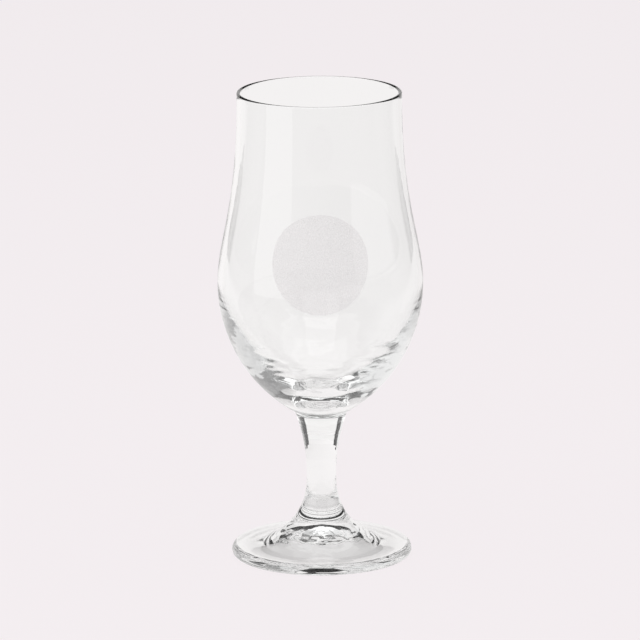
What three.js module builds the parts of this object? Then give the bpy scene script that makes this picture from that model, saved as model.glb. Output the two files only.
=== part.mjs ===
// A stemmed beer glass: a blown tulip bowl, a pulled stem and a pressed foot, fused at two
// seams, with a round frosted print fired onto the front of the bowl.
// Millimetres, +Z up, origin on the table under the middle of the foot, front towards -Y.

import * as THREE from "three";

// Driving dimensions, from the table up. Each rise is measured from the end of the one before it,
// and each radius from the axis of the glass.
const FOOT_RADIUS = 33.7;
const FOOT_THICKNESS = 4;
const FOOT_RIM_WIDTH = 4.2; // level band between the foot's flare and its edge
const EDGE_HEIGHT = 1.4; // height of the foot's widest line
const EDGE_TOP_ROUND = 2.2;
const EDGE_BOTTOM_ROUND = 1.2;
const REST_RING_WIDTH = 3; // flat ring that the glass stands on
const SHELF_RISE = 0.2; // rise of the underside from the rest ring in to the hollow
const HOLLOW_RADIUS = 21;
const HOLLOW_RISE = 7.5; // depth of the domed hollow under the stem

const FOOT_FLARE_RISE = 24; // from the foot's rim up to the waist of the stem
const FOOT_SEAM_DROP = 10; // from the waist down to the seam between stem and foot
const STEM_RADIUS = 5.55;
const WAIST_LENGTH = 3;
const STEM_FLARE_RISE = 23.8; // from the waist up to where stem and bowl cross
const JOIN_RADIUS = 9.9; // where stem and bowl cross
const JOIN_FILLET = 3.5;

const BELLY_RISE = 49.2; // from where stem and bowl cross up to the belly
const BELLY_RADIUS = 38.2;
const BELLY_PULL = 17; // how far up from the belly the wall stays near upright
const NECK_RISE = 72; // from the belly up to the top of the lip
const NECK_PULL = 44; // how far down from the lip the neck stays near upright
const LIP_RADIUS = 30.5;
const LIP_THICKNESS = 1.3;
const WALL_THICKNESS = 1.7;
const BASE_THICKNESS = 7; // solid glass from the stem's seam to the floor inside the bowl
const FLOOR_PULL = 13; // how far out from the axis the floor inside stays near level
const LOWER_WALL_PULL = 23; // how far down from the belly the inside wall stays near upright

const PRINT_RADIUS = 18.2;
const PRINT_RISE = 14.4; // from the belly up to the middle of the print
const PRINT_THICKNESS = 0.2;
const PRINT_GAP = 0.1; // clearance between the print and the glass that it is fired onto

// Facets.
const TURN_STEPS = 56; // around each turned piece
const SWEEP_STEPS = 10; // along each long curve of a profile
const ROUND_STEPS = 4; // along each small round of a profile
const HOLLOW_STEPS = 6; // along the hollow under the foot
const PRINT_TURN_STEPS = 36;
const PRINT_RINGS = 6;
const SAME_POINT = 1e-6; // points of a profile that lie closer than this are one point

// Finishes.
const CLEAR_GLASS = { color: 0xe9efec, roughness: 0.04, metalness: 0, transparent: true, opacity: 0.35 };
const FROSTED_PRINT = { color: 0xe2e2e3, roughness: 0.75, metalness: 0 };

const QUARTER_TURN = Math.PI / 2;

/** The arc that is upright at one point and passes through another: its centre and its radius. */
function uprightArc(upright, through) {
  const reach = new THREE.Vector2().subVectors(through, upright);
  const signedRadius = reach.lengthSq() / (2 * reach.x);
  const centre = new THREE.Vector2(upright.x + signedRadius, upright.y);
  return { centre, radius: Math.abs(signedRadius) };
}

/** The round of a given radius that eases a bulging arc into a hollow one below it. */
function filletBetween(bulge, hollow, radius) {
  const across = new THREE.Vector2().subVectors(hollow.centre, bulge.centre);
  const distance = across.length();
  const fromBulge = bulge.radius + radius;
  const fromHollow = hollow.radius - radius;
  const along = (fromBulge ** 2 - fromHollow ** 2 + distance ** 2) / (2 * distance);
  const aside = Math.sqrt(fromBulge ** 2 - along ** 2);
  const direction = across.normalize();
  const sideways = new THREE.Vector2(direction.y, -direction.x);
  const centre = bulge.centre.clone().addScaledVector(direction, along).addScaledVector(sideways, aside);
  const onBulge = bulge.centre.clone().lerp(centre, bulge.radius / fromBulge);
  const onHollow = hollow.centre.clone().lerp(centre, hollow.radius / fromHollow);
  return { centre, radius, onBulge, onHollow };
}

/** The points along an arc from one of its points to another, the short way round. */
function arcPoints(arc, from, to, steps) {
  const start = from.clone().sub(arc.centre).angle();
  const end = to.clone().sub(arc.centre).angle();
  const turn = Math.atan2(Math.sin(end - start), Math.cos(end - start));
  const { x, y } = arc.centre;
  return new THREE.EllipseCurve(x, y, arc.radius, arc.radius, start, start + turn, turn < 0).getPoints(steps);
}

/** The points along part of an upright ellipse. */
function ellipsePoints(centre, reach, rise, start, end, steps) {
  const ellipse = new THREE.EllipseCurve(centre.x, centre.y, reach, rise, start, end, end < start);
  return ellipse.getPoints(steps);
}

/** The points along a sweep that is upright at both ends, by a pull at each end. */
function uprightSweep(start, startPull, end, endPull) {
  const upwards = Math.sign(end.y - start.y);
  const startHandle = new THREE.Vector2(start.x, start.y + upwards * startPull);
  const endHandle = new THREE.Vector2(end.x, end.y - upwards * endPull);
  return new THREE.CubicBezierCurve(start, startHandle, endHandle, end).getPoints(SWEEP_STEPS);
}

/** A profile made of stretches in order, with each shared point kept once. */
function profile(...stretches) {
  const points = stretches.flat();
  return points.filter((point, index) => index === 0 || point.distanceTo(points[index - 1]) > SAME_POINT);
}

/** A solid of revolution about +Z from a profile of (radius, height) points. */
function turned(points, steps) {
  return new THREE.LatheGeometry(points, steps).rotateX(QUARTER_TURN);
}

// Heights from the table.
const waistHeight = FOOT_THICKNESS + FOOT_FLARE_RISE;
const waistTopHeight = waistHeight + WAIST_LENGTH;
const joinHeight = waistTopHeight + STEM_FLARE_RISE;
const bellyHeight = joinHeight + BELLY_RISE;
const lipHeight = bellyHeight + NECK_RISE;
const footSeamHeight = waistHeight - FOOT_SEAM_DROP;

// The foot's flare is a quarter ellipse, upright at the waist and level at the rim.
const flareCentre = new THREE.Vector2(FOOT_RADIUS - FOOT_RIM_WIDTH, waistHeight);
const flareReach = flareCentre.x - STEM_RADIUS;
const flareTopAngle = 2 * QUARTER_TURN;
const flareRimAngle = 3 * QUARTER_TURN;
const footSeamAngle = flareTopAngle + Math.asin(FOOT_SEAM_DROP / FOOT_FLARE_RISE);

// The stem's upper flare and the bowl's underside are arcs that cross at the join.
const join = new THREE.Vector2(JOIN_RADIUS, joinHeight);
const waistTop = new THREE.Vector2(STEM_RADIUS, waistTopHeight);
const belly = new THREE.Vector2(BELLY_RADIUS, bellyHeight);
const stemArc = uprightArc(waistTop, join);
const undersideArc = uprightArc(belly, join);
const joinFillet = filletBetween(undersideArc, stemArc, JOIN_FILLET);
const stemTop = joinFillet.onHollow; // edge of the seam between stem and bowl

// The lip is half a round, as thick as the wall there.
const lipRadius = LIP_THICKNESS / 2;
const lipOutside = new THREE.Vector2(LIP_RADIUS, lipHeight - lipRadius);
const lipInside = new THREE.Vector2(LIP_RADIUS - LIP_THICKNESS, lipOutside.y);

/** The outside of the bowl, from the stem's seam up to the lip. */
function bowlOutside() {
  const fillet = arcPoints(joinFillet, stemTop, joinFillet.onBulge, ROUND_STEPS);
  const underside = arcPoints(undersideArc, joinFillet.onBulge, belly, SWEEP_STEPS);
  const neck = uprightSweep(belly, BELLY_PULL, lipOutside, NECK_PULL);
  return profile(fillet, underside, neck);
}

/** The inside of the bowl, from the lip down to the middle of the floor. */
function bowlInside() {
  const bellyInside = new THREE.Vector2(BELLY_RADIUS - WALL_THICKNESS, bellyHeight);
  const floor = new THREE.Vector2(0, stemTop.y + BASE_THICKNESS);
  const neck = uprightSweep(lipInside, NECK_PULL, bellyInside, BELLY_PULL);
  const wallHandle = new THREE.Vector2(bellyInside.x, bellyInside.y - LOWER_WALL_PULL);
  const floorHandle = new THREE.Vector2(FLOOR_PULL, floor.y);
  const cup = new THREE.CubicBezierCurve(bellyInside, wallHandle, floorHandle, floor);
  return profile(neck, cup.getPoints(SWEEP_STEPS));
}

/** The blown bowl, from its seam with the stem, over the lip and down to the floor inside. */
function bowlProfile() {
  const seamMiddle = new THREE.Vector2(0, stemTop.y);
  const lipCentre = new THREE.Vector2(LIP_RADIUS - lipRadius, lipOutside.y);
  const lip = ellipsePoints(lipCentre, lipRadius, lipRadius, 0, 2 * QUARTER_TURN, ROUND_STEPS);
  return profile(seamMiddle, bowlOutside(), lip, bowlInside());
}

/** The pulled stem, from its seam with the foot up to its seam with the bowl. */
function stemProfile() {
  const foot = new THREE.Vector2(0, footSeamHeight);
  const lowerFlare = ellipsePoints(
    flareCentre, flareReach, FOOT_FLARE_RISE, footSeamAngle, flareTopAngle, ROUND_STEPS,
  );
  const upperFlare = arcPoints(stemArc, waistTop, stemTop, SWEEP_STEPS);
  const seamMiddle = new THREE.Vector2(0, stemTop.y);
  return profile(foot, lowerFlare, upperFlare, seamMiddle);
}

/** The pressed foot: domed hollow, shelf, rest ring, rounded edge and the flare up to the stem. */
function footProfile() {
  const restOuter = FOOT_RADIUS - EDGE_BOTTOM_ROUND;
  const restInner = restOuter - REST_RING_WIDTH;
  const edgeRise = FOOT_THICKNESS - EDGE_HEIGHT;
  const hollowTop = SHELF_RISE + HOLLOW_RISE;
  const hollowMiddle = new THREE.Vector2(0, hollowTop);
  const hollowHandle = new THREE.Vector2(HOLLOW_RADIUS / 2, hollowTop);
  const hollowEdge = new THREE.Vector2(HOLLOW_RADIUS, SHELF_RISE);
  const dome = new THREE.QuadraticBezierCurve(hollowMiddle, hollowHandle, hollowEdge);
  const shelfEdge = new THREE.Vector2(restInner, 0);
  const lowCentre = new THREE.Vector2(restOuter, EDGE_HEIGHT);
  const lowEdge = ellipsePoints(lowCentre, EDGE_BOTTOM_ROUND, EDGE_HEIGHT, -QUARTER_TURN, 0, ROUND_STEPS);
  const highCentre = new THREE.Vector2(FOOT_RADIUS - EDGE_TOP_ROUND, EDGE_HEIGHT);
  const highEdge = ellipsePoints(highCentre, EDGE_TOP_ROUND, edgeRise, 0, QUARTER_TURN, ROUND_STEPS);
  const flare = ellipsePoints(
    flareCentre, flareReach, FOOT_FLARE_RISE, flareRimAngle, footSeamAngle, SWEEP_STEPS,
  );
  const seamMiddle = new THREE.Vector2(0, footSeamHeight);
  return profile(dome.getPoints(HOLLOW_STEPS), shelfEdge, lowEdge, highEdge, flare, seamMiddle);
}

/** The outer radius of the bowl at a height, along the bowl's own facets. */
function bowlRadiusAt(height, outside) {
  const above = outside.findIndex((point) => point.y >= height);
  const low = outside[above - 1];
  const high = outside[above];
  return THREE.MathUtils.mapLinear(height, low.y, high.y, low.x, high.x);
}

/** The round print: a flat disc of rings, wrapped onto the front of the bowl. */
function printGeometry() {
  const rings = Array.from({ length: PRINT_RINGS + 1 }, (_, ring) => (PRINT_RADIUS * ring) / PRINT_RINGS);
  const back = rings.map((radius) => new THREE.Vector2(radius, 0));
  const front = rings.map((radius) => new THREE.Vector2(radius, PRINT_THICKNESS)).reverse();
  const disc = turned([...back, ...front], PRINT_TURN_STEPS);
  const outside = bowlOutside();
  const points = disc.getAttribute("position");
  for (let index = 0; index < points.count; index += 1) {
    const height = bellyHeight + PRINT_RISE + points.getY(index);
    const glassRadius = bowlRadiusAt(height, outside);
    const turn = points.getX(index) / glassRadius;
    const radius = glassRadius + PRINT_GAP + points.getZ(index);
    points.setXYZ(index, radius * Math.sin(turn), -radius * Math.cos(turn), height);
  }
  return disc;
}

/** A named piece of the glass with its own finish. */
function piece(name, geometry, finish) {
  const mesh = new THREE.Mesh(geometry, new THREE.MeshStandardMaterial(finish));
  mesh.name = name;
  return mesh;
}

const glass = new THREE.Group();
glass.add(piece("bowl", turned(bowlProfile(), TURN_STEPS), CLEAR_GLASS));
glass.add(piece("stem", turned(stemProfile(), TURN_STEPS), CLEAR_GLASS));
glass.add(piece("foot", turned(footProfile(), TURN_STEPS), CLEAR_GLASS));
glass.add(piece("print_disc", printGeometry(), FROSTED_PRINT));

export default glass;
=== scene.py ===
"""Looks of a stemmed beer glass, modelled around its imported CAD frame.

The frame is in metres, +Z up, with its origin on the table under the middle of the foot.
"""

import logging
import math
from abc import ABC, abstractmethod
from dataclasses import dataclass
from enum import IntEnum
from functools import cached_property

import bmesh
import bpy
from mathutils import Matrix, Vector, noise
from mathutils.geometry import interpolate_bezier


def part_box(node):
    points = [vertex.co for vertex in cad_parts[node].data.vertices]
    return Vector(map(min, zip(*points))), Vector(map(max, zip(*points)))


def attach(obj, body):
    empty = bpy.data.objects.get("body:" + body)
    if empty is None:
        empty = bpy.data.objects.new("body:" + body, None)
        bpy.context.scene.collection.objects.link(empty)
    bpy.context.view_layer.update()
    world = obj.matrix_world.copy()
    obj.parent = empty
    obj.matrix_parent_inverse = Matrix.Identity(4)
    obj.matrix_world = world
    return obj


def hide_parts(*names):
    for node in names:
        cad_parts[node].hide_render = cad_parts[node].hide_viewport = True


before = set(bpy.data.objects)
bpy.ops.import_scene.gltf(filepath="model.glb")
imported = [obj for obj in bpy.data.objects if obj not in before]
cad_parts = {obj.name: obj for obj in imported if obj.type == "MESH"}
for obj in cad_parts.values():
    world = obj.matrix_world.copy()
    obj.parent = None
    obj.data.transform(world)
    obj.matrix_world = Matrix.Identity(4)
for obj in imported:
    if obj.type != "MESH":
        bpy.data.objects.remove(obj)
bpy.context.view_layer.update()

Colour = tuple[float, float, float, float]
Signal = float | bpy.types.NodeSocket

LOG = logging.getLogger("beer_glass")
MM = 0.001
TOUCH = 0.0001 * MM
BODY = "root"
QUARTER_TURN = math.pi / 2
WHITE: Colour = (1.0, 1.0, 1.0, 1.0)


class GlassFace(IntEnum):
    """Material slots of a turned glass piece."""

    CLEAR = 0
    FUSED = 1


# Profile curves

@dataclass(frozen=True)
class Arc:
    """A circular arc in the half plane of radius and height.

    Attributes:
        centre: Radius and height of the arc's centre.
        radius: Radius of the arc.
    """

    centre: Vector
    radius: float

    @classmethod
    def upright(cls, upright: Vector, through: Vector) -> "Arc":
        """Makes the arc that is upright at one point and passes through another.

        Args:
            upright: Point where the arc runs straight up.
            through: Another point of the arc.

        Returns:
            The arc.
        """
        reach = through - upright
        signed_radius = reach.length_squared / (2 * reach.x)
        return cls(Vector((upright.x + signed_radius, upright.y)), abs(signed_radius))

    def points(self, start: Vector, end: Vector, steps: int) -> list[Vector]:
        """Walks the arc the short way round.

        Args:
            start: First point, on the arc.
            end: Last point, on the arc.
            steps: Number of equal steps.

        Returns:
            The points, both ends included.
        """
        first = math.atan2(start.y - self.centre.y, start.x - self.centre.x)
        last = math.atan2(end.y - self.centre.y, end.x - self.centre.x)
        turn = math.atan2(math.sin(last - first), math.cos(last - first))
        return ellipse(self.centre, self.radius, self.radius, first, first + turn, steps)


def ellipse(
    centre: Vector, reach: float, rise: float, start: float, end: float, steps: int
) -> list[Vector]:
    """Walks part of an upright ellipse.

    Args:
        centre: Radius and height of its centre.
        reach: Half its width.
        rise: Half its height.
        start: First angle.
        end: Last angle.
        steps: Number of equal steps.

    Returns:
        The points, both ends included.
    """
    angles = (start + (end - start) * step / steps for step in range(steps + 1))
    return [centre + Vector((reach * math.cos(a), rise * math.sin(a))) for a in angles]


def upright_sweep(
    start: Vector, start_pull: float, end: Vector, end_pull: float, steps: int
) -> list[Vector]:
    """Walks a sweep that is upright at both ends.

    Args:
        start: First point.
        start_pull: How far the sweep stays near upright from its start.
        end: Last point.
        end_pull: How far it stays near upright towards its end.
        steps: Number of steps.

    Returns:
        The points, both ends included.
    """
    way = math.copysign(1, end.y - start.y)
    start_handle = Vector((start.x, start.y + way * start_pull))
    end_handle = Vector((end.x, end.y - way * end_pull))
    return interpolate_bezier(start, start_handle, end_handle, end, steps + 1)


def single_bend(start: Vector, corner: Vector, end: Vector, steps: int) -> list[Vector]:
    """Walks a curve that leaves for a corner and arrives from it, without reaching it.

    Args:
        start: First point.
        corner: Where the lines that the curve follows at its ends cross.
        end: Last point.
        steps: Number of steps.

    Returns:
        The points, both ends included.
    """
    share = 2 / 3
    return interpolate_bezier(start, start.lerp(corner, share), end.lerp(corner, share), end, steps + 1)


@dataclass(frozen=True)
class Fillet:
    """The round that eases a bulging arc into a hollow arc below it.

    Attributes:
        arc: The round itself.
        on_bulge: Where it meets the bulging arc.
        on_hollow: Where it meets the hollow arc.
    """

    arc: Arc
    on_bulge: Vector
    on_hollow: Vector

    @classmethod
    def between(cls, bulge: Arc, hollow: Arc, radius: float) -> "Fillet":
        """Fits a round of a given radius between two crossing arcs.

        Args:
            bulge: The upper arc, whose centre is inside the glass.
            hollow: The lower arc, whose centre is outside the glass.
            radius: Radius of the round.

        Returns:
            The fitted round.
        """
        across = hollow.centre - bulge.centre
        from_bulge = bulge.radius + radius
        from_hollow = hollow.radius - radius
        along = (from_bulge**2 - from_hollow**2 + across.length_squared) / (2 * across.length)
        aside = math.sqrt(from_bulge**2 - along**2)
        direction = across.normalized()
        sideways = Vector((direction.y, -direction.x))
        centre = bulge.centre + along * direction + aside * sideways
        on_bulge = bulge.centre.lerp(centre, bulge.radius / from_bulge)
        on_hollow = hollow.centre.lerp(centre, hollow.radius / from_hollow)
        return cls(Arc(centre, radius), on_bulge, on_hollow)


# Sizes of the glass

@dataclass(frozen=True)
class GlassForm:
    """The shape that bowl, stem, foot and print share.

    The overall sizes are read from the CAD frame, and the fields hold the sizes between them.

    Attributes:
        foot_thickness: Height of the foot's rim.
        foot_rim_width: Width of the rim outside the flare.
        foot_edge_height: Height of the widest point of the foot's edge.
        foot_edge_top_round: Width of the round above that point.
        foot_edge_bottom_round: Width of the round below it.
        rest_ring_width: Width of the ring that the glass stands on.
        shelf_rise: How far the underside rises from that ring to the hollow.
        hollow_radius: Radius of the hollow under the foot.
        hollow_rise: Rise of the hollow's round top above its edge.
        foot_flare_rise: Rise of the foot's flare, from the rim to the waist.
        stem_radius: Radius of the stem's waist.
        waist_length: Length of the waist.
        stem_flare_rise: Rise of the stem's flare, from the waist to the bowl's underside.
        join_radius: Radius where flare and underside cross.
        join_fillet: Radius of the round between them.
        belly_rise: Rise from that crossing to the bowl's widest point.
        belly_pull: How far the bowl stays near upright above that point.
        neck_pull: How far it stays near upright below the lip.
        lip_radius: Outer radius of the lip.
        lip_thickness: Thickness of the lip.
        wall_thickness: Thickness of the wall at the bowl's widest point.
        base_thickness: Thickness of the glass between the stem's seam and the floor inside.
        floor_pull: How far the floor stays near level from its middle.
        lower_wall_pull: How far the inside stays near upright below the widest point.
        sweep_steps: Steps along a long curve.
        round_steps: Steps along a small round.
    """

    foot_thickness: float = 4.0 * MM
    foot_rim_width: float = 4.2 * MM
    foot_edge_height: float = 1.4 * MM
    foot_edge_top_round: float = 2.2 * MM
    foot_edge_bottom_round: float = 1.2 * MM
    rest_ring_width: float = 3.0 * MM
    shelf_rise: float = 0.2 * MM
    hollow_radius: float = 21.0 * MM
    hollow_rise: float = 7.5 * MM
    foot_flare_rise: float = 24.0 * MM
    stem_radius: float = 5.55 * MM
    waist_length: float = 3.0 * MM
    stem_flare_rise: float = 23.8 * MM
    join_radius: float = 9.9 * MM
    join_fillet: float = 3.5 * MM
    belly_rise: float = 49.2 * MM
    belly_pull: float = 17.0 * MM
    neck_pull: float = 44.0 * MM
    lip_radius: float = 30.5 * MM
    lip_thickness: float = 1.3 * MM
    wall_thickness: float = 1.7 * MM
    base_thickness: float = 7.0 * MM
    floor_pull: float = 13.0 * MM
    lower_wall_pull: float = 23.0 * MM
    sweep_steps: int = 72
    round_steps: int = 20

    @cached_property
    def foot_radius(self) -> float:
        """Widest radius of the foot."""
        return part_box("foot")[1].x

    @cached_property
    def foot_seam_height(self) -> float:
        """Height of the fused seam between foot and stem."""
        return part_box("stem")[0].z

    @cached_property
    def waist_height(self) -> float:
        """Height of the lower end of the stem's waist."""
        return self.foot_thickness + self.foot_flare_rise

    @cached_property
    def waist_top(self) -> Vector:
        """Upper end of the stem's waist."""
        return Vector((self.stem_radius, self.waist_height + self.waist_length))

    @cached_property
    def join(self) -> Vector:
        """Point where the stem's flare and the bowl's underside cross."""
        return Vector((self.join_radius, self.waist_top.y + self.stem_flare_rise))

    @cached_property
    def belly(self) -> Vector:
        """Widest point of the bowl's outside."""
        return Vector((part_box("bowl")[1].x, self.join.y + self.belly_rise))

    @cached_property
    def lip_top(self) -> float:
        """Height of the lip's top."""
        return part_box("bowl")[1].z

    @cached_property
    def lip_side(self) -> Vector:
        """Outer side of the lip, where its round begins."""
        return Vector((self.lip_radius, self.lip_top - self.lip_thickness / 2))

    @cached_property
    def stem_arc(self) -> Arc:
        """Arc of the stem's upper flare."""
        return Arc.upright(self.waist_top, self.join)

    @cached_property
    def underside_arc(self) -> Arc:
        """Arc of the bowl's underside."""
        return Arc.upright(self.belly, self.join)

    @cached_property
    def fillet(self) -> Fillet:
        """Round between the bowl's underside and the stem."""
        return Fillet.between(self.underside_arc, self.stem_arc, self.join_fillet)

    @cached_property
    def bowl_seam(self) -> Vector:
        """Outer end of the fused seam between stem and bowl."""
        return self.fillet.on_hollow

    @cached_property
    def flare_centre(self) -> Vector:
        """Centre of the quarter ellipse that the foot's flare follows."""
        return Vector((self.foot_radius - self.foot_rim_width, self.waist_height))

    @cached_property
    def flare_reach(self) -> float:
        """Half width of the flare's ellipse."""
        return self.flare_centre.x - self.stem_radius

    @cached_property
    def foot_seam_angle(self) -> float:
        """Angle of the foot's seam on the flare's ellipse."""
        drop = self.waist_height - self.foot_seam_height
        return math.pi + math.asin(drop / self.foot_flare_rise)

    def flare(self, start: float, end: float) -> list[Vector]:
        """Walks part of the foot's flare.

        Args:
            start: First angle on its ellipse.
            end: Last angle.

        Returns:
            The points, both ends included.
        """
        return ellipse(
            self.flare_centre, self.flare_reach, self.foot_flare_rise, start, end, self.sweep_steps
        )

    @cached_property
    def bowl_outside(self) -> list[Vector]:
        """Points of the bowl's outside, from the stem's seam up to the lip.

        Returns:
            The points, both ends included.
        """
        on_bulge = self.fillet.on_bulge
        return [
            *self.fillet.arc.points(self.bowl_seam, on_bulge, self.round_steps),
            *self.underside_arc.points(on_bulge, self.belly, self.sweep_steps),
            *upright_sweep(self.belly, self.belly_pull, self.lip_side, self.neck_pull, self.sweep_steps),
        ]

    @cached_property
    def bowl_inside(self) -> list[Vector]:
        """Points of the bowl's inside, from the lip down to the middle of the floor.

        Returns:
            The points, both ends included.
        """
        lip_side = self.lip_side - Vector((self.lip_thickness, 0))
        belly = self.belly - Vector((self.wall_thickness, 0))
        floor = Vector((0, self.bowl_seam.y + self.base_thickness))
        wall_handle = belly - Vector((0, self.lower_wall_pull))
        floor_handle = floor + Vector((self.floor_pull, 0))
        return [
            *upright_sweep(lip_side, self.neck_pull, belly, self.belly_pull, self.sweep_steps),
            *interpolate_bezier(belly, wall_handle, floor_handle, floor, 2 * self.sweep_steps + 1),
        ]

    def bowl_radius_at(self, height: float) -> float:
        """Finds the bowl's outer radius at a height.

        Args:
            height: Height above the table.

        Returns:
            The radius there.
        """
        for low, high in zip(self.bowl_outside, self.bowl_outside[1:]):
            if low.y <= height <= high.y and high.y > low.y:
                return low.lerp(high, (height - low.y) / (high.y - low.y)).x
        return self.lip_radius


# Finishes

class NodeBoard:
    """A material's or world's node tree, cleared and ready to be wired."""

    def __init__(self, owner: bpy.types.Material | bpy.types.World) -> None:
        """Clears the owner's tree.

        Args:
            owner: Material or world to wire.
        """
        owner.use_nodes = True
        self.tree = owner.node_tree
        self.tree.nodes.clear()

    def add(self, kind: str, settings: dict | None = None, **inputs: object) -> bpy.types.Node:
        """Adds a node.

        Args:
            kind: Blender's type name without its ShaderNode prefix.
            settings: Properties of the node.
            **inputs: Sockets by name, with _ for a space: a value to set or an output to link.

        Returns:
            The new node.
        """
        node = self.tree.nodes.new("ShaderNode" + kind)
        for name, value in (settings or {}).items():
            setattr(node, name, value)
        for name, value in inputs.items():
            self.feed(node, name.replace("_", " "), value)
        return node

    def feed(self, node: bpy.types.Node, socket: str | int, value: object) -> None:
        """Sets a socket, or links an output to it.

        Args:
            node: Node that has the socket.
            socket: Its name or place.
            value: A value, or another node's output.
        """
        if isinstance(value, bpy.types.NodeSocket):
            self.tree.links.new(value, node.inputs[socket])
        else:
            node.inputs[socket].default_value = value

    def math(self, operation: str, first: Signal, second: Signal = 0.0) -> bpy.types.NodeSocket:
        """Adds a Math node.

        Args:
            operation: Blender's name of the operation.
            first: First value or output.
            second: Second value or output.

        Returns:
            The result's socket.
        """
        node = self.add("Math", {"operation": operation})
        self.feed(node, 0, first)
        self.feed(node, 1, second)
        return node.outputs[0]

    def mixed(self, share: Signal, first: bpy.types.Node, second: bpy.types.Node) -> bpy.types.Node:
        """Mixes two shaders.

        Args:
            share: Share of the second shader.
            first: Shader that shows where the share is 0.
            second: Shader that shows where the share is 1.

        Returns:
            The mixed shader.
        """
        node = self.add("MixShader", Fac=share)
        self.feed(node, 1, first.outputs[0])
        self.feed(node, 2, second.outputs[0])
        return node

    def graded(
        self, value: Signal, start: float, end: float, start_level: Signal, end_level: Signal
    ) -> bpy.types.NodeSocket:
        """Adds a soft grade from one level to another.

        Args:
            value: Output that is graded.
            start: Value where the grade starts.
            end: Value where it ends.
            start_level: Result up to the start.
            end_level: Result from the end on.

        Returns:
            The result's socket.
        """
        node = self.add("MapRange", {"interpolation_type": "SMOOTHSTEP"}, Value=value)
        self.feed(node, "From Min", start)
        self.feed(node, "From Max", end)
        self.feed(node, "To Min", start_level)
        self.feed(node, "To Max", end_level)
        return node.outputs[0]


@dataclass(frozen=True)
class ClearGlass:
    """Fire-polished soda-lime glass, clouded by a breath of tint and scuffed where it stands.

    Attributes:
        name: Name of the material.
        tint: Colour of most of the glass.
        deep_tint: Colour of its cloudier places.
        ior: Refraction of the glass.
        cloud_scale: How many clouds there are in a metre.
        cloud_detail: How many finer layers the clouds have.
        wave_scale: How many fine surface waves there are in a metre.
        wave_detail: How many finer layers those waves have.
        wave_height: Height of those waves.
        scuff_reach: Height above the table up to which the glass is scuffed.
        scuff_scale: How many scuffs there are in a metre.
        scuff_detail: How many finer layers the scuffs have.
        scuff_roughness: Roughness of the scuffs.
    """

    name: str = "clear_glass"
    tint: Colour = (0.997, 0.999, 0.998, 1.0)
    deep_tint: Colour = (0.988, 0.995, 0.991, 1.0)
    ior: float = 1.52
    cloud_scale: float = 40.0
    cloud_detail: float = 2.0
    wave_scale: float = 120.0
    wave_detail: float = 1.0
    wave_height: float = 0.012 * MM
    scuff_reach: float = 0.06 * MM
    scuff_scale: float = 1400.0
    scuff_detail: float = 4.0
    scuff_roughness: float = 0.1

    def material(self) -> bpy.types.Material:
        """Makes the glass.

        Returns:
            The material.
        """
        made = bpy.data.materials.new(self.name)
        board = NodeBoard(made)
        place = board.add("TexCoord").outputs["Object"]
        clouds = board.add("TexNoise", Vector=place, Scale=self.cloud_scale, Detail=self.cloud_detail)
        tint = board.add("MixRGB", Fac=clouds.outputs[0], Color1=self.tint, Color2=self.deep_tint)
        waves = board.add("TexNoise", Vector=place, Scale=self.wave_scale, Detail=self.wave_detail)
        bump = board.add("Bump", Height=waves.outputs[0], Distance=self.wave_height)
        scuffs = board.add("TexNoise", Vector=place, Scale=self.scuff_scale, Detail=self.scuff_detail)
        height = board.add("SeparateXYZ", Vector=place).outputs["Z"]
        near_table = board.graded(height, 0.0, self.scuff_reach, self.scuff_roughness, 0.0)
        shader = board.add("BsdfPrincipled", Base_Color=tint.outputs[0], IOR=self.ior)
        board.feed(shader, "Transmission Weight", 1.0)
        board.feed(shader, "Roughness", board.math("MULTIPLY", near_table, scuffs.outputs[0]))
        board.feed(shader, "Normal", bump.outputs[0])
        board.add("OutputMaterial", Surface=shader.outputs[0])
        return made


@dataclass(frozen=True)
class FusedSeam:
    """Glass that has flowed into its neighbour, where light passes straight through.

    Attributes:
        name: Name of the material.
        tint: Colour of the light that passes.
    """

    name: str = "fused_seam"
    tint: Colour = WHITE

    def material(self) -> bpy.types.Material:
        """Makes the seam.

        Returns:
            The material.
        """
        made = bpy.data.materials.new(self.name)
        board = NodeBoard(made)
        shader = board.add("BsdfTransparent", Color=self.tint)
        board.add("OutputMaterial", Surface=shader.outputs[0])
        return made


@dataclass(frozen=True)
class FrostedPrint:
    """Fired-on satin print, grained like fine frit, that lets light through.

    Attributes:
        name: Name of the material.
        colour: Colour of its fuller grains.
        thin_colour: Colour between the grains.
        grain_scale: How many grains there are in a metre.
        grain_detail: How many finer layers the grain has.
        roughness: Roughness of the smoothest grains.
        grain_roughness: What the roughest grains add.
        grain_height: Height of the grains.
        transmission: Share of the light that passes through.
        ior: Refraction of the fired layer against the glass that it is fused to.
    """

    name: str = "frosted_print"
    colour: Colour = (0.955, 0.945, 0.95, 1.0)
    thin_colour: Colour = (0.935, 0.925, 0.93, 1.0)
    grain_scale: float = 4500.0
    grain_detail: float = 3.0
    roughness: float = 0.22
    grain_roughness: float = 0.1
    grain_height: float = 0.0003 * MM
    transmission: float = 0.94
    ior: float = 1.1

    def material(self) -> bpy.types.Material:
        """Makes the print.

        Returns:
            The material.
        """
        made = bpy.data.materials.new(self.name)
        board = NodeBoard(made)
        place = board.add("TexCoord").outputs["Object"]
        frit = board.add("TexNoise", Vector=place, Scale=self.grain_scale, Detail=self.grain_detail)
        grain = frit.outputs[0]
        colour = board.add("MixRGB", Fac=grain, Color1=self.thin_colour, Color2=self.colour)
        rough = board.graded(grain, 0.0, 1.0, self.roughness, self.roughness + self.grain_roughness)
        bump = board.add("Bump", Height=grain, Distance=self.grain_height)
        shader = board.add("BsdfPrincipled", Base_Color=colour.outputs[0], Roughness=rough)
        board.feed(shader, "Transmission Weight", self.transmission)
        board.feed(shader, "IOR", self.ior)
        board.feed(shader, "Normal", bump.outputs[0])
        board.add("OutputMaterial", Surface=shader.outputs[0])
        return made


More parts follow.
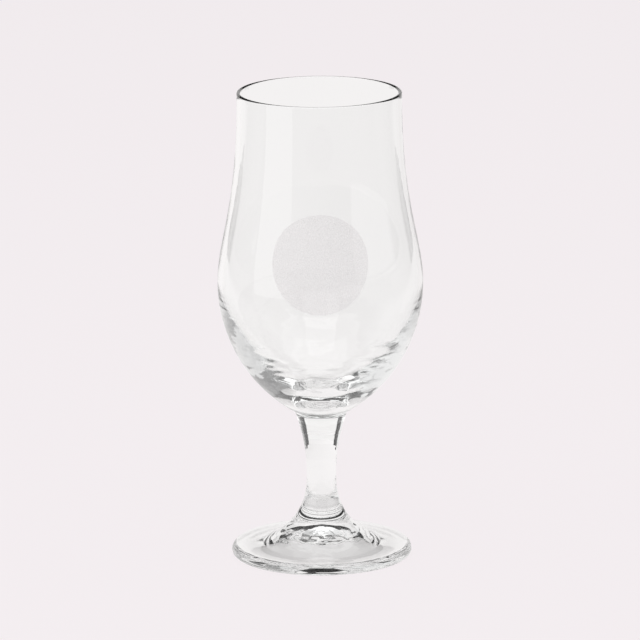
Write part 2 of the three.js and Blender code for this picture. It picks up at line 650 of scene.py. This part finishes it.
# Pieces

@dataclass(frozen=True)
class Ripple:
    """Faint waves that hot working leaves in the glass.

    Attributes:
        height: Height of the waves.
        across: Their length level with the table.
        upward: Their length up the glass.
        layers: How many layers of ever finer waves there are.
        finer: How many times finer each layer is than the one before.
        fading: How fast the finer layers get lower.
    """

    height: float
    across: float
    upward: float
    layers: int = 2
    finer: float = 2.0
    fading: float = 1.0

    def at(self, place: Vector) -> float:
        """Finds how far the glass swells at a place.

        Args:
            place: Point on the smooth glass.

        Returns:
            The swell along the face's normal.
        """
        stretched = Vector((place.x / self.across, place.y / self.across, place.z / self.upward))
        return self.height * noise.fractal(stretched, self.fading, self.finer, self.layers)


def fade(value: float, none_at: float, full_at: float) -> float:
    """Eases from 0 to 1 between two values.

    Args:
        value: Where to look.
        none_at: Value at which the result is 0.
        full_at: Value at which the result is 1.

    Returns:
        The eased share.
    """
    share = min(1.0, max(0.0, (value - none_at) / (full_at - none_at)))
    return share * share * (3 - 2 * share)


def spin_full_turn(shape: bmesh.types.BMesh, row: list[Vector], steps: int) -> None:
    """Spins a row of points round the upright axis and closes the seam and the poles.

    Args:
        shape: Empty mesh that takes the turned skin.
        row: The points in order.
        steps: Steps round the axis.
    """
    verts = [shape.verts.new(point) for point in row]
    edges = [shape.edges.new(pair) for pair in zip(verts, verts[1:])]
    bmesh.ops.spin(
        shape, geom=[*verts, *edges], cent=(0, 0, 0), axis=(0, 0, 1),
        angle=math.tau, steps=steps, use_merge=True,
    )
    bmesh.ops.remove_doubles(shape, verts=shape.verts, dist=TOUCH)


def placed(shape: bmesh.types.BMesh, name: str) -> bpy.types.Object:
    """Turns a finished shape into an object of the scene.

    Args:
        shape: The shape, which is used up.
        name: Name of the object and of its mesh.

    Returns:
        The object, with its place in its mesh.
    """
    mesh = bpy.data.meshes.new(name)
    shape.to_mesh(mesh)
    shape.free()
    made = bpy.data.objects.new(name, mesh)
    bpy.context.scene.collection.objects.link(made)
    return made


def join_frame(piece: bpy.types.Object, node: str) -> None:
    """Gives a finished piece its place in the frame and reports it.

    Args:
        piece: The piece.
        node: CAD node that it stands for.
    """
    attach(piece, BODY)
    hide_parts(node)
    LOG.info("%s: %d faces", piece.name, len(piece.data.polygons))


@dataclass
class TurnedPiece(ABC):
    """A solid of revolution in glass, closed at its fused seams.

    Attributes:
        form: Shared shape of the glass.
        node: CAD node that the piece stands for.
        seams: Heights of its flat fused faces.
        slot: Record's material slot; not used.
        turn_steps: Steps round the axis.
    """

    form: GlassForm
    node: str
    seams: tuple[float, ...]
    slot: str = "clear_glass"
    turn_steps: int = 192

    @abstractmethod
    def outline(self) -> list[Vector]:
        """Walks the profile from the axis round to the axis again.

        Returns:
            The points in radius and height.
        """

    @abstractmethod
    def swell(self, place: Vector, normal: Vector) -> float:
        """Finds how far hot working has moved the glass.

        Args:
            place: Point on the smooth glass.
            normal: Its outward direction.

        Returns:
            The move along the normal.
        """

    def build(self) -> bpy.types.Object:
        """Spins the profile into a closed mesh.

        Returns:
            The piece, with its place in its mesh.
        """
        shape = bmesh.new()
        profile = [Vector((point.x, 0, point.y)) for point in self.outline()]
        spin_full_turn(shape, profile, self.turn_steps)
        bmesh.ops.recalc_face_normals(shape, faces=shape.faces)
        shape.normal_update()
        for vert in shape.verts:
            vert.co += vert.normal * self.swell(vert.co, vert.normal)
        self.mark_seams(shape)
        return placed(shape, self.node + "_glass")

    def mark_seams(self, shape: bmesh.types.BMesh) -> None:
        """Smooths the glass and gives its flat fused faces their own slot.

        Args:
            shape: The closed mesh.
        """
        for face in shape.faces:
            heights = [vert.co.z for vert in face.verts]
            fused = any(max(abs(z - seam) for z in heights) < TOUCH for seam in self.seams)
            face.smooth = not fused
            face.material_index = GlassFace.FUSED if fused else GlassFace.CLEAR
        for edge in shape.edges:
            kinds = {face.material_index for face in edge.link_faces}
            edge.smooth = len(kinds) == 1

    def dress(self, piece: bpy.types.Object, glass: bpy.types.Material, seam: bpy.types.Material) -> None:
        """Gives the piece its finish and its place in the frame.

        Args:
            piece: The built piece.
            glass: Material of its shown faces.
            seam: Material of its fused faces.
        """
        piece.data.materials.append(glass)
        piece.data.materials.append(seam)
        join_frame(piece, self.node)


@dataclass
class Bowl(TurnedPiece):
    """The blown bowl with its flame-polished lip.

    Attributes:
        floor_ripple: Waves of the floor inside.
        skin_ripple: Waves of the base outside.
        ripple_low: Height up to which these waves are full.
        ripple_high: Height from which there are none.
        calm_length: Height over which the skin's waves end at the seam.
    """

    floor_ripple: Ripple = Ripple(0.09 * MM, 12.0 * MM, 3.6 * MM)
    skin_ripple: Ripple = Ripple(0.02 * MM, 8.0 * MM, 3.0 * MM)
    ripple_low: float = 82.0 * MM
    ripple_high: float = 96.0 * MM
    calm_length: float = 4.0 * MM

    def swell(self, place: Vector, normal: Vector) -> float:
        """Waves the thick base, more on the floor inside than on the skin outside.

        Args:
            place: Point on the smooth glass.
            normal: Its outward direction.

        Returns:
            The move along the normal.
        """
        low = fade(place.z, self.ripple_high, self.ripple_low)
        outward = normal.x * place.x + normal.y * place.y
        if outward <= 0 and normal.z >= 0:
            return self.floor_ripple.at(place) * low
        seam = self.seams[0]
        return self.skin_ripple.at(place) * low * fade(place.z, seam, seam + self.calm_length)

    def outline(self) -> list[Vector]:
        """Walks from the stem's seam over the lip to the floor inside.

        Returns:
            The points in radius and height.
        """
        form = self.form
        half = form.lip_thickness / 2
        lip_centre = form.lip_side - Vector((half, 0))
        return [
            Vector((0, form.bowl_seam.y)),
            *form.bowl_outside,
            *ellipse(lip_centre, half, half, 0, math.pi, form.round_steps),
            *form.bowl_inside,
        ]


@dataclass
class Stem(TurnedPiece):
    """The pulled stem between its two seams.

    Attributes:
        pull_ripple: Waves of its sides.
        calm_length: Height over which these waves end at each seam.
        ring_height: Height of the faint ring near its top.
        ring_half_width: Half the ring's width.
        ring_swell: How far the ring stands out.
    """

    pull_ripple: Ripple = Ripple(0.07 * MM, 4.5 * MM, 4.0 * MM)
    calm_length: float = 4.0 * MM
    ring_height: float = 47.0 * MM
    ring_half_width: float = 0.4 * MM
    ring_swell: float = 0.12 * MM

    def swell(self, place: Vector, normal: Vector) -> float:
        """Waves the sides, raises the ring and leaves both seams flat.

        Args:
            place: Point on the smooth glass.
            normal: Its outward direction.

        Returns:
            The move along the normal.
        """
        low, high = self.seams
        calm = fade(place.z, low, low + self.calm_length) * fade(place.z, high, high - self.calm_length)
        off_ring = (place.z - self.ring_height) / self.ring_half_width
        return self.pull_ripple.at(place) * calm + self.ring_swell * math.exp(-off_ring * off_ring)

    def outline(self) -> list[Vector]:
        """Walks from the foot's seam up to the bowl's seam.

        Returns:
            The points in radius and height.
        """
        form = self.form
        return [
            Vector((0, form.foot_seam_height)),
            *form.flare(form.foot_seam_angle, math.pi),
            *form.stem_arc.points(form.waist_top, form.bowl_seam, form.sweep_steps),
            Vector((0, form.bowl_seam.y)),
        ]


@dataclass
class Foot(TurnedPiece):
    """The pressed foot with its hollow underside.

    Attributes:
        hollow_peak: How far the hollow's middle rises to a soft point.
        press_ripple: Waves of the hollow, in turns and rings.
        edge_ripple: Waves of the outer edge.
        edge_reach: Width of that edge.
        rest_calm: Height above the table at which its waves are full.
        spokes: Number that sets how many waves run round the hollow.
        ring_length: Length of its waves from the middle outwards.
        calm_middle: Radius from which its waves are full.
        calm_edge: Width over which they end at its edge.
    """

    hollow_peak: float = 1.4 * MM
    press_ripple: Ripple = Ripple(0.24 * MM, 1.0, 1.0)
    edge_ripple: Ripple = Ripple(0.05 * MM, 5.0 * MM, 2.0 * MM)
    edge_reach: float = 6.0 * MM
    rest_calm: float = 0.5 * MM
    spokes: float = 1.8
    ring_length: float = 4.0 * MM
    calm_middle: float = 14.0 * MM
    calm_edge: float = 4.0 * MM

    def swell(self, place: Vector, normal: Vector) -> float:
        """Waves the hollow underside in spokes and rings, and the edge above the rest ring.

        Args:
            place: Point on the smooth glass.
            normal: Its outward direction.

        Returns:
            The move along the normal.
        """
        reach = math.hypot(place.x, place.y)
        edge = self.form.hollow_radius
        if reach > edge:
            outer = fade(reach, self.form.foot_radius - self.edge_reach, self.form.foot_radius)
            return self.edge_ripple.at(place) * outer * fade(place.z, 0, self.rest_calm)
        if normal.z > 0 or reach < TOUCH:
            return 0.0
        around = Vector((place.x, place.y, 0)) * (self.spokes / reach)
        wave = self.press_ripple.at(around + Vector((0, 0, reach / self.ring_length)))
        return wave * fade(reach, 0, self.calm_middle) * fade(reach, edge, edge - self.calm_edge)

    def outline(self) -> list[Vector]:
        """Walks from the hollow underside round the edge to the stem's seam.

        Returns:
            The points in radius and height.
        """
        form = self.form
        rest_outer = form.foot_radius - form.foot_edge_bottom_round
        hollow_top = form.shelf_rise + form.hollow_rise
        hollow_middle = Vector((0, hollow_top + self.hollow_peak))
        hollow_corner = Vector((form.hollow_radius / 2, hollow_top))
        hollow_edge = Vector((form.hollow_radius, form.shelf_rise))
        low_centre = Vector((rest_outer, form.foot_edge_height))
        high_centre = Vector((form.foot_radius - form.foot_edge_top_round, form.foot_edge_height))
        edge_rise = form.foot_thickness - form.foot_edge_height
        return [
            *single_bend(hollow_middle, hollow_corner, hollow_edge, form.sweep_steps),
            Vector((rest_outer - form.rest_ring_width, 0)),
            *ellipse(
                low_centre, form.foot_edge_bottom_round, form.foot_edge_height,
                -QUARTER_TURN, 0, form.round_steps,
            ),
            *ellipse(high_centre, form.foot_edge_top_round, edge_rise, 0, QUARTER_TURN, form.round_steps),
            *form.flare(3 * QUARTER_TURN, form.foot_seam_angle),
            Vector((0, form.foot_seam_height)),
        ]


@dataclass
class PrintDisc:
    """The round frosted print on the front of the bowl.

    Attributes:
        form: Shared shape of the glass.
        node: CAD node that the print stands for.
        slot: Record's material slot.
        gap: Clearance to the glass.
        thickness: Thickness of the fired layer.
        rings: Steps from its middle to its edge.
        turn_steps: Steps round its middle.
    """

    form: GlassForm
    node: str = "print_disc"
    slot: str = "frosted_print"
    gap: float = 0.02 * MM
    thickness: float = 0.04 * MM
    rings: int = 28
    turn_steps: int = 128

    def build(self) -> bpy.types.Object:
        """Spins a flat disc, wraps it round the bowl and gives it thickness.

        Returns:
            The print, with its place in its mesh.
        """
        low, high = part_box(self.node)
        radius = (high.z - low.z) / 2
        middle = (high.z + low.z) / 2
        shape = bmesh.new()
        spoke = [Vector((radius * ring / self.rings, 0, 0)) for ring in range(self.rings + 1)]
        spin_full_turn(shape, spoke, self.turn_steps)
        for vert in shape.verts:
            vert.co = self.wrapped(vert.co, middle)
        bmesh.ops.recalc_face_normals(shape, faces=shape.faces)
        front = sum((face.normal for face in shape.faces), Vector())
        if front.y > 0:
            bmesh.ops.reverse_faces(shape, faces=shape.faces)
        bmesh.ops.solidify(shape, geom=shape.faces, thickness=-self.thickness)
        for face in shape.faces:
            face.smooth = True
        for edge in shape.edges:
            edge.smooth = edge.calc_face_angle(0) < QUARTER_TURN / 2
        return placed(shape, "frosted_print_disc")

    def wrapped(self, flat: Vector, middle: float) -> Vector:
        """Wraps a point of the flat print onto the front of the bowl.

        Args:
            flat: Point of the flat disc.
            middle: Height of the print's middle.

        Returns:
            The point just clear of the glass.
        """
        height = middle + flat.y
        glass_radius = self.form.bowl_radius_at(height)
        turn = flat.x / glass_radius
        radius = glass_radius + self.gap
        return Vector((radius * math.sin(turn), -radius * math.cos(turn), height))

    def dress(self, piece: bpy.types.Object, finish: bpy.types.Material) -> None:
        """Gives the print its finish and its place in the frame.

        Args:
            piece: The built print.
            finish: Its material.
        """
        piece.data.materials.append(finish)
        join_frame(piece, self.node)


# Studio

@dataclass(frozen=True)
class PaleGround:
    """Pale floor that camera, mirror and glass rays see at an even level, over a faint shadow; glass and
    mirrors also show a painted shadow under the foot and painted light on the left.

    Attributes:
        name: Name of the material.
        colour: Colour that the camera sees.
        paper_colour: Colour that glass and mirrors show.
        even_share: Share of the even level for those rays, where the rest is lit by the lamps.
        painted_shadow_radius: Radius of the painted shadow on the floor under the foot.
        painted_shadow_width: How softly that painted shadow ends.
        painted_shadow_level: How bright the floor is under the foot, where its shadow is painted.
        painted_side_light: How much brighter the paper is on the left, and darker on the right, as painted
            side light.
        paper_half_width: Half width of the paper beside the glass, beyond which the floor is dim.
        paper_spread: How fast the paper widens towards the back.
        edge_width: How softly the paper ends.
        dim_level: How bright mirrors show the floor beside and in front of the paper.
        front_start: How far in front of the glass the paper starts to dim.
        front_end: How far in front it is dim.
    """

    name: str = "pale_ground"
    colour: Colour = (0.91, 0.862, 0.882, 1.0)
    paper_colour: Colour = (0.935, 0.914, 0.914, 1.0)
    even_share: float = 0.95
    painted_shadow_radius: float = 31.0 * MM
    painted_shadow_width: float = 7.0 * MM
    painted_shadow_level: float = 0.8
    painted_side_light: float = 0.06
    paper_half_width: float = 0.28
    paper_spread: float = 0.8
    edge_width: float = 0.3
    dim_level: float = 0.3
    front_start: float = 0.05
    front_end: float = 0.2

    def material(self) -> bpy.types.Material:
        """Makes the floor's material.

        Returns:
            The material.
        """
        made = bpy.data.materials.new(self.name)
        board = NodeBoard(made)
        rays = board.add("LightPath").outputs
        by_glass = board.math("MAXIMUM", rays["Is Glossy Ray"], rays["Is Transmission Ray"])
        shown = board.math("MAXIMUM", by_glass, rays["Is Camera Ray"])
        matte = board.add("BsdfDiffuse", Color=self.colour)
        pale = board.add("Emission", Color=self.colour, Strength=1.0)
        level = self.paper_level(board, rays["Is Reflection Ray"])
        paper = board.add("Emission", Color=self.paper_colour, Strength=level)
        even = board.mixed(rays["Is Camera Ray"], paper, pale)
        both = board.mixed(board.math("MULTIPLY", shown, self.even_share), matte, even)
        board.add("OutputMaterial", Surface=both.outputs[0])
        return made

    def paper_level(self, board: NodeBoard, by_mirror: bpy.types.NodeSocket) -> bpy.types.NodeSocket:
        """Grades the floor that glass and mirrors show, with a painted shadow under the foot and painted
        light brighter on the left.

        Args:
            board: The floor's node tree.
            by_mirror: 1 where a mirrored ray looks.

        Returns:
            The level at each place.
        """
        place = board.add("TexCoord").outputs["Object"]
        axes = board.add("SeparateXYZ", Vector=place).outputs
        reach = board.add("VectorMath", {"operation": "LENGTH"})
        board.feed(reach, 0, place)
        widening = board.math("MULTIPLY", axes["Y"], self.paper_spread)
        aside = board.math("SUBTRACT", board.math("ABSOLUTE", axes["X"]), widening)
        edge_end = self.paper_half_width + self.edge_width
        # Painted shadow: the floor that glass and mirrors show is darker under the foot.
        painted_shadow_start = self.painted_shadow_radius - self.painted_shadow_width
        edge = board.graded(aside, self.paper_half_width, edge_end, 1.0, self.dim_level)
        front = board.graded(axes["Y"], -self.front_end, -self.front_start, self.dim_level, 1.0)
        dim = board.math("MULTIPLY", edge, front)
        grades = (
            (reach.outputs["Value"], painted_shadow_start, self.painted_shadow_radius, self.painted_shadow_level, 1.0),
            # Painted side light: the paper is brighter on the left and darker on the right.
            (axes["X"], -edge_end, edge_end, 1 + self.painted_side_light, 1 - self.painted_side_light),
        )
        level = board.graded(by_mirror, 0.0, 1.0, 1.0, dim)
        for grade in grades:
            level = board.math("MULTIPLY", level, board.graded(*grade))
        return level


@dataclass(frozen=True)
class Card:
    """An upright studio card that the camera looks past.

    Attributes:
        name: What the card is for.
        azimuth: Direction from the glass in degrees, 0 behind it and 90 to its right.
        distance: How far from the glass it stands.
        width: Its width.
        low: Height of its lower edge.
        high: Height of its upper edge.
        level: How bright it is, where 1 is white.
        tint: Its colour.
        depth_limit: Number of glass faces behind which it no longer shows, or 0 for no limit.
        mirrored: Whether it shows mirrored on glass, as well as through it.
    """

    name: str
    azimuth: float
    distance: float
    width: float
    low: float
    high: float
    level: float
    tint: Colour = WHITE
    depth_limit: int = 0
    mirrored: bool = True

    def material(self) -> bpy.types.Material:
        """Makes the card's even finish.

        Returns:
            The material.
        """
        made = bpy.data.materials.new(self.name)
        board = NodeBoard(made)
        surface = board.add("Emission", Color=self.tint, Strength=self.level)
        if self.depth_limit:
            faces = board.add("LightPath").outputs["Transmission Depth"]
            past = board.math("GREATER_THAN", faces, self.depth_limit - 1)
            surface = board.mixed(past, surface, board.add("BsdfTransparent"))
        board.add("OutputMaterial", Surface=surface.outputs[0])
        return made

    def build(self) -> None:
        """Stands the card up, facing the glass."""
        half = self.width / 2
        turn = Matrix.Rotation(-math.radians(self.azimuth), 4, "Z")
        corners = ((-half, self.low), (half, self.low), (half, self.high), (-half, self.high))
        shape = bmesh.new()
        shape.faces.new([shape.verts.new(turn @ Vector((x, self.distance, z))) for x, z in corners])
        card = placed(shape, self.name)
        card.data.materials.append(self.material())
        card.visible_camera = False
        card.visible_glossy = self.mirrored
        card.visible_shadow = False
        card.visible_diffuse = False


@dataclass(frozen=True)
class SoftBox:
    """A rectangular lamp that faces the glass.

    Attributes:
        name: What the lamp is for.
        azimuth: Direction from the glass in degrees, 0 behind it and 90 to its right.
        elevation: Angle above the table in degrees.
        distance: How far from the glass it hangs.
        width: Its width.
        height: Its height.
        level: How bright its face is, where 1 is white.
        through_glass: Whether it shows through glass, as well as mirrored on it.
        aim_height: Height on the glass's axis of the point that it faces.
    """

    name: str
    azimuth: float
    elevation: float
    distance: float
    width: float
    height: float
    level: float
    through_glass: bool = True
    aim_height: float = 0.08

    def build(self) -> None:
        """Hangs the lamp."""
        data = bpy.data.lights.new(self.name, "AREA")
        data.shape = "RECTANGLE"
        data.size = self.width
        data.size_y = self.height
        data.energy = self.level * math.pi * self.width * self.height
        lamp = bpy.data.objects.new(self.name, data)
        bpy.context.scene.collection.objects.link(lamp)
        turn = Matrix.Rotation(-math.radians(self.azimuth), 4, "Z")
        tilt = Matrix.Rotation(math.radians(self.elevation), 4, "X")
        face_back = Matrix.Rotation(-QUARTER_TURN, 4, "X")
        place = Matrix.Translation((0, 0, self.aim_height)) @ turn @ tilt
        lamp.matrix_world = place @ Matrix.Translation((0, self.distance, 0)) @ face_back
        lamp.visible_camera = False
        lamp.visible_transmission = self.through_glass


@dataclass
class Studio:
    """Floor, surroundings, cards and lamps.

    Attributes:
        floor_radius: Radius of the floor.
        floor_steps: Sides of its round outline.
        floor_drop: How far it lies under the glass.
        room_level: Level of the surroundings for light and mirror rays.
        wall_level: Level of the low pale wall that glass shows all round.
        wall_fall: How much brighter that wall is on the left, and darker on the right.
        wall_angles: Angles above the table, in degrees, between which that wall ends softly.
        bounces: How many glass faces light may pass before it is lost.
        mirror_bounces: How often it may be mirrored.
        seam_bounces: How many see-through faces, such as fused seams, it may pass.
        ground: Finish of the floor.
        cards: Cards round the glass.
        lamps: Lamps round the glass.
    """

    floor_radius: float = 6.0
    floor_steps: int = 96
    floor_drop: float = 0.02 * MM
    room_level: float = 0.12
    wall_level: float = 0.54
    wall_fall: float = 0.3
    wall_angles: tuple[float, float] = (17.0, 36.0)
    bounces: int = 32
    mirror_bounces: int = 24
    seam_bounces: int = 24
    ground: PaleGround = PaleGround()
    cards: tuple[Card, ...] = (
        Card(
            "backdrop", azimuth=0, distance=1.5, width=1.9, low=0.0, high=0.66,
            level=0.9, tint=(1.0, 0.985, 0.98, 1.0),
        ),
        Card(
            "ceiling_gap", azimuth=0, distance=1.4, width=3.0, low=0.52, high=1.8,
            level=0.005, mirrored=False,
        ),
        Card(
            "left_flag", azimuth=-43, distance=0.95, width=0.31, low=0.0, high=0.85,
            level=0.04, depth_limit=4, mirrored=False,
        ),
        Card(
            "right_flag", azimuth=43, distance=0.95, width=0.31, low=0.0, high=0.85,
            level=0.05, depth_limit=4, mirrored=False,
        ),
    )
    lamps: tuple[SoftBox, ...] = (
        SoftBox(
            "left_softbox", azimuth=-76, elevation=28, distance=1.0, width=0.85, height=0.8,
            level=0.42, through_glass=False,
        ),
        SoftBox(
            "left_strip", azimuth=-123, elevation=21, distance=0.53, width=0.42, height=0.56,
            level=0.9, through_glass=False,
        ),
        SoftBox(
            "right_softbox", azimuth=112, elevation=26, distance=1.0, width=1.1, height=0.9,
            level=0.45,
        ),
        SoftBox(
            "top_softbox", azimuth=0, elevation=90, distance=1.0, width=2.0, height=1.5,
            level=0.95,
        ),
        SoftBox(
            "front_softbox", azimuth=180, elevation=45, distance=1.4, width=1.1, height=0.9,
            level=1.0,
        ),
    )

    def lay_floor(self) -> None:
        """Makes the round floor."""
        shape = bmesh.new()
        bmesh.ops.create_circle(shape, cap_ends=True, segments=self.floor_steps, radius=self.floor_radius)
        bmesh.ops.translate(shape, verts=shape.verts, vec=(0, 0, -self.floor_drop))
        floor = placed(shape, "studio_floor")
        floor.data.materials.append(self.ground.material())

    def light_room(self) -> None:
        """Makes the surroundings: pale to the camera, pale up to a low wall's height to glass, else dim."""
        world = bpy.data.worlds.new("studio_room")
        bpy.context.scene.world = world
        board = NodeBoard(world)
        rays = board.add("LightPath").outputs
        direction = board.add("TexCoord").outputs["Generated"]
        axes = board.add("SeparateXYZ", Vector=direction).outputs
        low, high = (math.sin(math.radians(angle)) for angle in self.wall_angles)
        left_level = self.wall_level + self.wall_fall
        right_level = self.wall_level - self.wall_fall
        side = board.graded(axes["X"], -1.0, 1.0, left_level, right_level)
        wall = board.graded(axes["Z"], low, high, side, self.room_level)
        level = board.graded(rays["Is Transmission Ray"], 0.0, 1.0, self.room_level, wall)
        room = board.add("Background", Color=WHITE, Strength=level)
        pale = board.add("Background", Color=self.ground.colour, Strength=1.0)
        both = board.mixed(rays["Is Camera Ray"], room, pale)
        board.add("OutputWorld", Surface=both.outputs[0])

    def set_rendering(self) -> None:
        """Sets plain colours, and light paths long enough for thick glass."""
        scene = bpy.context.scene
        scene.view_settings.view_transform = "Standard"
        scene.cycles.max_bounces = self.bounces
        scene.cycles.transmission_bounces = self.bounces
        scene.cycles.glossy_bounces = self.mirror_bounces
        scene.cycles.transparent_max_bounces = self.seam_bounces

    def build(self) -> None:
        """Makes the whole studio."""
        self.lay_floor()
        self.light_room()
        for part in (*self.cards, *self.lamps):
            part.build()
        self.set_rendering()


@dataclass(frozen=True)
class PhotoCamera:
    """The photograph's view point.

    Attributes:
        distance: How far in front of the glass's axis the camera stands.
        height: Its height above the table.
        pitch: How far it looks down.
        roll: How far it leans clockwise.
        aside: How far left of the glass's axis it stands.
        focal_px: Focal length in pixels of the picture.
        picture_px: Width of the picture.
        sensor_mm: Width of the sensor in millimetres.
    """

    distance: float = 2.0
    height: float = 0.5693
    pitch: float = 0.2355
    roll: float = math.radians(0.34)
    aside: float = 0.2 * MM
    focal_px: float = 5529.5
    picture_px: int = 640
    sensor_mm: float = 36.0

    def build(self) -> None:
        """Makes the camera and hands it to the scene."""
        data = bpy.data.cameras.new("photo_camera")
        data.sensor_width = self.sensor_mm
        data.lens = self.focal_px / self.picture_px * self.sensor_mm
        camera = bpy.data.objects.new("photo_camera", data)
        bpy.context.scene.collection.objects.link(camera)
        tilt = Matrix.Rotation(QUARTER_TURN - self.pitch, 4, "X")
        lean = Matrix.Rotation(-self.roll, 4, "Z")
        place = Matrix.Translation((-self.aside, -self.distance, self.height))
        camera.matrix_world = place @ tilt @ lean
        bpy.context.scene.camera = camera


def main() -> None:
    """Builds the glass and its studio."""
    logging.basicConfig(level=logging.INFO, format="%(name)s: %(message)s")
    PhotoCamera().build()
    Studio().build()
    form = GlassForm()
    glass = ClearGlass().material()
    seam = FusedSeam().material()
    foot_seam = form.foot_seam_height
    bowl_seam = form.bowl_seam.y
    for piece in (
        Bowl(form, "bowl", (bowl_seam,)),
        Stem(form, "stem", (foot_seam, bowl_seam)),
        Foot(form, "foot", (foot_seam,)),
    ):
        piece.dress(piece.build(), glass, seam)
    disc = PrintDisc(form)
    disc.dress(disc.build(), FrostedPrint().material())


if __name__ == "__main__":
    main()
